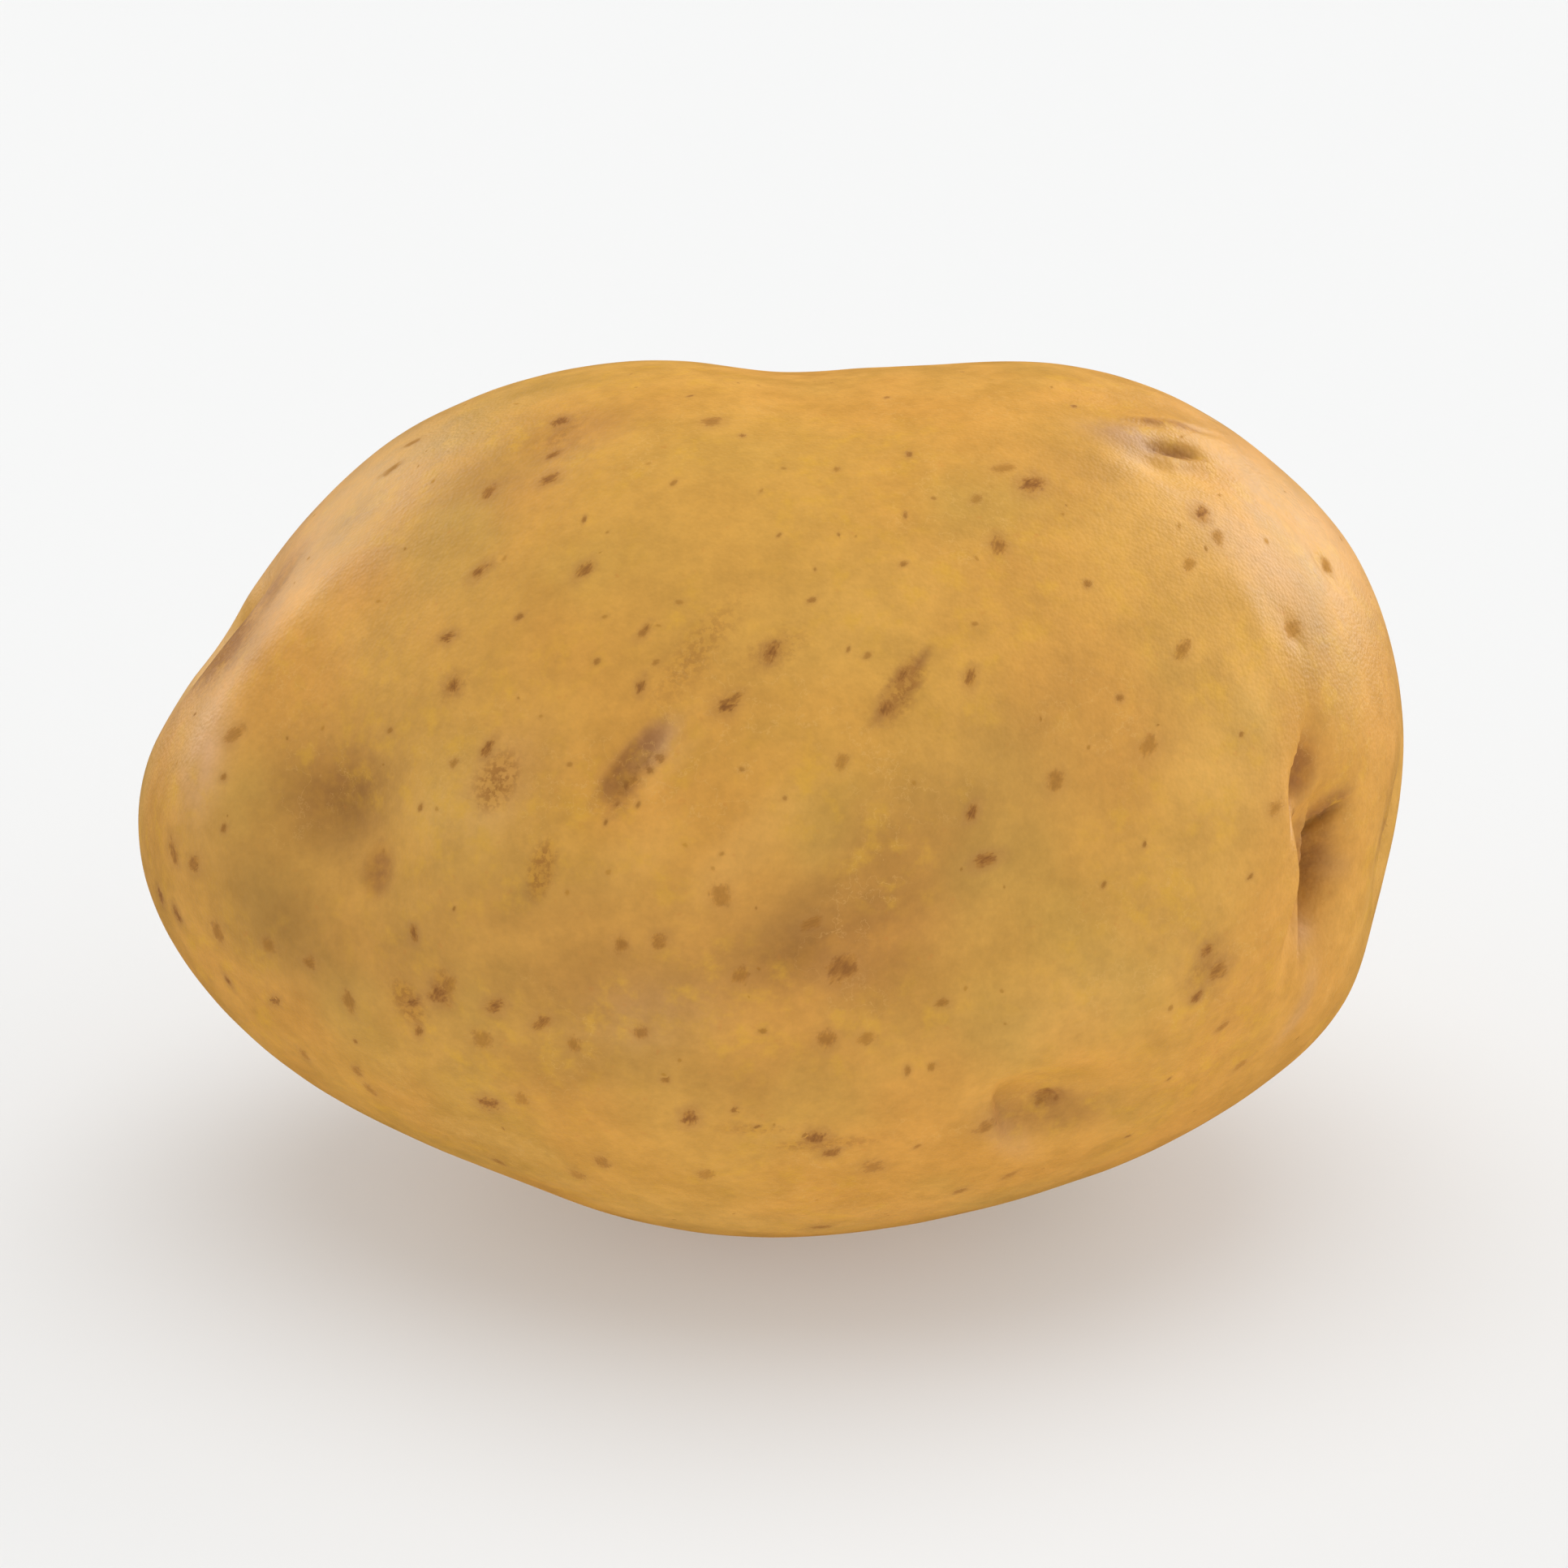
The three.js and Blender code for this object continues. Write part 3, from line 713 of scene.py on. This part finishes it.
def clouds(size, detail=3.0, roughness=0.5):
    """Cloudy noise whose patches are about so many millimetres across."""
    settings = {"Vector": on_skin, "Scale": 1 / (size * MM), "Detail": detail, "Roughness": roughness}
    return add("TexNoise", settings).outputs


# %% [markdown]
# The colour is built up as the eye reads it: a yellow ochre ground that drifts towards orange and olive
# over centimetres, mottled over millimetres, and flecked with clear yellow and orange. Colours are linear
# light. Two factors darken the colour for painted shade and lighten and pale it for a painted highlight.

# %% Ground colour
OCHRE = (0.68, 0.352, 0.062)
ORANGE = (0.70, 0.332, 0.056)
OLIVE = (0.53, 0.31, 0.055)
BROWN = (0.33, 0.142, 0.048)
PINK = (0.65, 0.35, 0.148)
# factors for painted shade and for a painted highlight
PAINTED_SHADE_TONE = (0.72, 0.70, 0.69)
PAINTED_LIGHT_TONE = (1.14, 1.20, 1.45)

drift = clouds(22, detail=2)["Fac"]
greening = soft_step(clouds(15)["Fac"], 0.5, 0.72, low=0, high=0.45)
mottle = clouds(3.6, detail=5, roughness=0.6)["Fac"]
fleck = clouds(0.75, roughness=0.6)["Fac"]
patch_layer = add("Attribute", attribute_name="patches").outputs["Vector"]
brown_and_shade, pink_and_highlight, olive = add("SeparateXYZ", {0: patch_layer}).outputs
painted_shade_light_russet_layer = add("Attribute", attribute_name="painted_shade_light_russet").outputs["Vector"]
painted_shade, clear, netted = add("SeparateXYZ", {0: painted_shade_light_russet_layer}).outputs

colour = blend(soft_step(drift, 0.38, 0.66), OCHRE, ORANGE)
colour = blend(greening, colour, OLIVE)
mottled_olive = sum_of("MULTIPLY", olive, soft_step(mottle, 0.3, 0.62, low=0.45))
colour = blend(mottled_olive, colour, OLIVE)
# pink patches, two of them painted highlights
mottled_pink_and_highlight = sum_of("MULTIPLY", pink_and_highlight, soft_step(mottle, 0.3, 0.6, low=0.6))
colour = blend(mottled_pink_and_highlight, colour, PINK)
raggedness = soft_step(clouds(1.6, detail=4, roughness=0.6)["Fac"], 0.3, 0.62, low=0.5)
# brown patches, partly painted shade inside the folds
colour = blend(sum_of("MULTIPLY", brown_and_shade, raggedness), colour, BROWN)

mottled_shade = soft_step(mottle, 0.25, 0.75, low=0.91, high=1.08)
flecked_shade = soft_step(fleck, 0.2, 0.8, low=-0.05, high=0.05)
shade = sum_of("ADD", mottled_shade, flecked_shade)
grey = add("CombineColor", {0: shade, 1: shade, 2: shade}).outputs[0]
colour = blend(1.0, colour, grey, "MULTIPLY")
# painted shade darkens the colour, and painted light lightens and pales it
colour = blend(painted_shade, colour, PAINTED_SHADE_TONE, "MULTIPLY")
colour = blend(clear, colour, PAINTED_LIGHT_TONE, "MULTIPLY")
print("ground colour takes", len(tree.nodes), "nodes")

# %% [markdown]
# Seen close up, the skin is flecked: clear yellow flecks gather in some areas, and rust-coloured ones lie
# all over. Cloudy noise that is cut off at a high value leaves such scattered flecks.

# %% Flecks
YELLOW = (0.78, 0.42, 0.035)
RUST = (0.62, 0.20, 0.03)
YELLOW_STRENGTH = 0.5
RUST_STRENGTH = 0.22

yellow_areas = soft_step(clouds(9, detail=2)["Fac"], 0.42, 0.62)
yellow_flecks = soft_step(clouds(1.7, detail=4, roughness=0.6)["Fac"], 0.45, 0.75)
gathered = sum_of("MULTIPLY", yellow_flecks, yellow_areas)
colour = blend(sum_of("MULTIPLY", gathered, YELLOW_STRENGTH), colour, YELLOW)
rust_flecks = soft_step(clouds(0.8, detail=2)["Color"], 0.62, 0.74)
colour = blend(sum_of("MULTIPLY", rust_flecks, RUST_STRENGTH), colour, RUST)

# %% [markdown]
# Where the tuber grew fast its skin has split into hair-fine pale threads, which healed. The line where a
# cloudy noise passes through its middle value has just their wiggling shape. They show in a few places
# only.

# %% Healed cracks
PALE = (0.80, 0.47, 0.14)
CRACK_STRENGTH = 0.3
MIDDLE_VALUE = 0.5

from_middle = sum_of("SUBTRACT", clouds(2.4, detail=4, roughness=0.6)["Fac"], MIDDLE_VALUE)
thread = soft_step(sum_of("ABSOLUTE", from_middle), 0.010, 0.002)
cracked_areas = soft_step(clouds(12, detail=1)["Fac"], 0.52, 0.66)
cracks = sum_of("MULTIPLY", thread, cracked_areas)
colour = blend(sum_of("MULTIPLY", cracks, CRACK_STRENGTH), colour, PALE)

# %% [markdown]
# A speck is drawn from its own coordinates. Noise pushes them about, so that its edge is ragged. Cork
# crumbles into streaks along the speck's long side, so noise that is stretched that way decides, together
# with the nearness to the middle, where the cork is. Around it lies a soft brownish halo, where the skin
# is thin.

# %% Shape of a speck
PUSHED_BY = 1.3
NOISE_MIDDLE = (0.5, 0.5, 0.5)
STRETCHED = 2.0
STREAK_SCALE = 2.3
OWN_NOISE = 40
HOLES = 0.24
FILLED_BY_NEARNESS = 0.62

speck_layer = add("Attribute", attribute_name="within speck").outputs["Vector"]
like_layer = add("Attribute", attribute_name="speck likeness").outputs["Vector"]
along, beside, own = add("SeparateXYZ", {0: speck_layer}).outputs
dark, crumbly, _ = add("SeparateXYZ", {0: like_layer}).outputs
pushes = {0: clouds(0.9, roughness=0.6)["Color"], 1: NOISE_MIDDLE}
push = add("VectorMath", pushes, operation="SUBTRACT").outputs[0]
push_along, push_beside, _ = add("SeparateXYZ", {0: push}).outputs
ragged_along = sum_of("MULTIPLY_ADD", push_along, PUSHED_BY, along)
ragged_beside = sum_of("MULTIPLY_ADD", push_beside, PUSHED_BY, beside)
along_squared = sum_of("MULTIPLY", ragged_along, ragged_along)
beside_squared = sum_of("MULTIPLY", ragged_beside, ragged_beside)
apart = sum_of("SQRT", sum_of("ADD", along_squared, beside_squared))
nearness = soft_step(apart, 1.25, 0.1)

stretched = {0: along, 1: sum_of("MULTIPLY", beside, STRETCHED), 2: sum_of("MULTIPLY", own, OWN_NOISE)}
where_streaked = add("CombineXYZ", stretched).outputs[0]
streaks = {"Vector": where_streaked, "Scale": STREAK_SCALE, "Detail": 3.0, "Roughness": 0.6}
streak = add("TexNoise", streaks).outputs["Fac"]
filling = sum_of("MULTIPLY_ADD", nearness, FILLED_BY_NEARNESS, streak)
filled = sum_of("SUBTRACT", filling, sum_of("MULTIPLY", crumbly, HOLES))
cork = sum_of("MULTIPLY", soft_step(filled, 0.44, 0.86), soft_step(nearness, 0.0, 0.5))
halo = sum_of("MULTIPLY", soft_step(apart, 1.9, 0.2), dark)

# %% [markdown]
# The colours of cork go on last. A russet patch is tinted as a halo is, and a fine net of cork lies over
# it.

# %% Colour of specks and russet
HALO = (0.47, 0.220, 0.052)
CORK = (0.365, 0.155, 0.036)
CORK_DARK = (0.245, 0.098, 0.026)
RUSSET_TINT = 0.35
NET_STRENGTH = 0.75
HALO_STRENGTH = 0.75

net = soft_step(clouds(0.5, roughness=0.6)["Fac"], 0.44, 0.60)
russet = sum_of("MULTIPLY", netted, net)
colour = blend(sum_of("MULTIPLY", netted, RUSSET_TINT), colour, HALO)
colour = blend(sum_of("MULTIPLY", russet, NET_STRENGTH), colour, CORK)
colour = blend(sum_of("MULTIPLY", halo, HALO_STRENGTH), colour, HALO)
cork_colour = blend(soft_step(filled, 0.70, 1.05), CORK, CORK_DARK)
colour = blend(sum_of("MULTIPLY", cork, dark), colour, cork_colour)

# %% [markdown]
# The grain of the skin shows only where light grazes it: low pebbles a third of a millimetre across. The
# heights are in millimetres, and their sum goes through one bump node. The skin swells a little around a
# speck, and its cork lies lower.

# %% Grain
PEBBLE_SIZE = 0.3
BUMP_STRENGTH = 0.9

pebbled = {"Vector": on_skin, "Scale": 1 / (PEBBLE_SIZE * MM)}
pebbles = add("TexVoronoi", pebbled, feature="F1").outputs["Distance"]
BUMPS = [  # a pattern, and its height in millimetres
    (pebbles, -0.033),
    (clouds(0.26, detail=2, roughness=0.6)["Fac"], 0.014),
    (clouds(1.3)["Fac"], 0.04),
    (cork, -0.022),
    (sum_of("MULTIPLY", nearness, streak), 0.03),
    (russet, 0.035),
]
height = 0.0
for pattern, rise in BUMPS:
    height = sum_of("MULTIPLY_ADD", pattern, rise, height)
bump = add("Bump", {"Height": height, "Distance": MM, "Strength": BUMP_STRENGTH}).outputs[0]

# %% [markdown]
# Potato skin has a low, waxy gloss. Specks are rougher, and brown, russet and corky skin has next to no
# gloss. The colour that the tuber throws onto the floor is weakened, or the floor would turn orange.

# %% Gloss
SPECK_ROUGHER = 0.2
WAXY = 0.38
DRY = 0.06
SHADED = (0.05, 0.05, 0.05)
WEAKENED = 0.4

skin_roughness = soft_step(mottle, 0.3, 0.7, low=0.42, high=0.52)
roughness = sum_of("MULTIPLY_ADD", nearness, SPECK_ROUGHER, skin_roughness)
worn = sum_of("MAXIMUM", sum_of("MAXIMUM", brown_and_shade, netted), nearness)
gloss = soft_step(worn, 0.0, 0.9, low=WAXY, high=DRY)
onto_others = sum_of("MULTIPLY", add("LightPath").outputs["Is Diffuse Ray"], WEAKENED)
thrown = blend(onto_others, colour, SHADED)

looks = {"Base Color": thrown, "Roughness": roughness, "Specular IOR Level": gloss, "Normal": bump}
shader = add("BsdfPrincipled", looks)
add("OutputMaterial", {"Surface": shader.outputs[0]})
print("the finish has", len(tree.nodes), "nodes")

# %% [markdown]
# The mesh becomes an object at the origin, because its place is in its points. It rides on the one body
# that there is and takes the place of the plain solid.

# %% The finished tuber
skin_mesh.materials.append(skin)
skin_mesh.shade_smooth()
tuber_skin = bpy.data.objects.new("tuber_skin", skin_mesh)
bpy.context.collection.objects.link(tuber_skin)
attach(tuber_skin, "root")
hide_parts("tuber")
print("tuber_skin has", len(skin_mesh.polygons), "faces")

# %% [markdown]
# The photograph has a white floor without a horizon, and a pale shadow. The floor is a light table: it
# glows a little and so lights the belly of the tuber, and it also takes the shadow.

# %% Floor
FLOOR_GLOW = (0.19, 0.175, 0.16)
FLOOR_GREY = (0.605, 0.62, 0.63)
FLOOR_HALF_SIDE = 4.0

ground = bmesh.new()
bmesh.ops.create_grid(ground, x_segments=1, y_segments=1, size=FLOOR_HALF_SIDE)
floor_mesh = bpy.data.meshes.new("floor")
ground.to_mesh(floor_mesh)
ground.free()
floor = bpy.data.objects.new("floor", floor_mesh)
bpy.context.collection.objects.link(floor)
paper = bpy.data.materials.new("white paper")
paper.use_nodes = True
paper_look = paper.node_tree.nodes["Principled BSDF"].inputs
paper_look["Base Color"].default_value = (*FLOOR_GREY, 1)
paper_look["Roughness"].default_value = 1.0
paper_look["Specular IOR Level"].default_value = 0.0
paper_look["Emission Color"].default_value = (*FLOOR_GLOW, 1)
paper_look["Emission Strength"].default_value = 1.0
floor_mesh.materials.append(paper)
floor.visible_glossy = False
print("floor is", 2 * FLOOR_HALF_SIDE, "m wide")

# %% [markdown]
# The light comes from all sides, as in a white tent. The sky is white to the camera. The light that it
# casts comes mostly from the right and the left, and little from in front, so that the forms of the near
# face show. Dull skin mirrors neither sky nor floor at its rim, so both are kept out of the gloss.

# %% Sky
SEEN_SKY = 0.93
SKY_BASE = 0.38
SKY_RIGHT = 0.9
SKY_LEFT = 0.55
NUMBER_UNDER = 2  # the Mix node's sockets for plain numbers
NUMBER_OVER = 3

sky = bpy.data.worlds.new("studio")
sky.use_nodes = True
tree = sky.node_tree  # from here on the helpers add their nodes to the sky
direction = add("TexCoord").outputs["Generated"]
to_right = add("SeparateXYZ", {0: direction}).outputs["X"]
from_right = soft_step(to_right, 0.0, 0.95, low=0, high=SKY_RIGHT)
from_left = soft_step(to_right, -0.2, -0.95, low=0, high=SKY_LEFT)
cast = sum_of("ADD", sum_of("ADD", SKY_BASE, from_right), from_left)
seen = add("LightPath").outputs["Is Camera Ray"]
mixed = add("Mix", {0: seen, NUMBER_UNDER: cast, NUMBER_OVER: SEEN_SKY}, data_type="FLOAT").outputs[0]
sky_background = tree.nodes["Background"].inputs
sky_background["Color"].default_value = (1, 1, 1, 1)
tree.links.new(mixed, sky_background["Strength"])
sky.cycles_visibility.glossy = False
bpy.context.scene.world = sky
print("sky casts", SKY_BASE, "from in front and", round(SKY_BASE + SKY_RIGHT, 2), "from the right")

# %% [markdown]
# A wide sun overhead makes the shadow. Two behind the tuber give its shoulders their broad highlights,
# and one shines up through the light table onto the belly. Only the two behind are seen in the gloss.
# Only the one overhead casts a shadow, because the photograph has a single soft one under the tuber.

# %% Suns
OVERHEAD = (0, 0, 1)
SUNS = [  # from where, strength, width in degrees, whether it makes a highlight
    ((0.70, 0.64, 0.32), 1.4, 40, True),
    ((-0.62, 0.70, 0.30), 0.8, 40, True),
    (OVERHEAD, 1.08, 54, False),
    ((0.10, -0.38, -0.92), 0.80, 50, False),
]

for number, (origin, strength, width, mirrored) in enumerate(SUNS):
    sun = bpy.data.lights.new(f"softbox {number + 1}", "SUN")
    sun.energy = strength
    sun.angle = math.radians(width)
    sun.use_shadow = origin == OVERHEAD
    lamp = bpy.data.objects.new(sun.name, sun)
    lamp.rotation_mode = "QUATERNION"
    lamp.rotation_quaternion = Vector(origin).to_track_quat("Z", "Y")
    lamp.visible_glossy = mirrored
    bpy.context.collection.objects.link(lamp)

bpy.context.scene.view_settings.view_transform = "Standard"
print(len(SUNS), "suns")
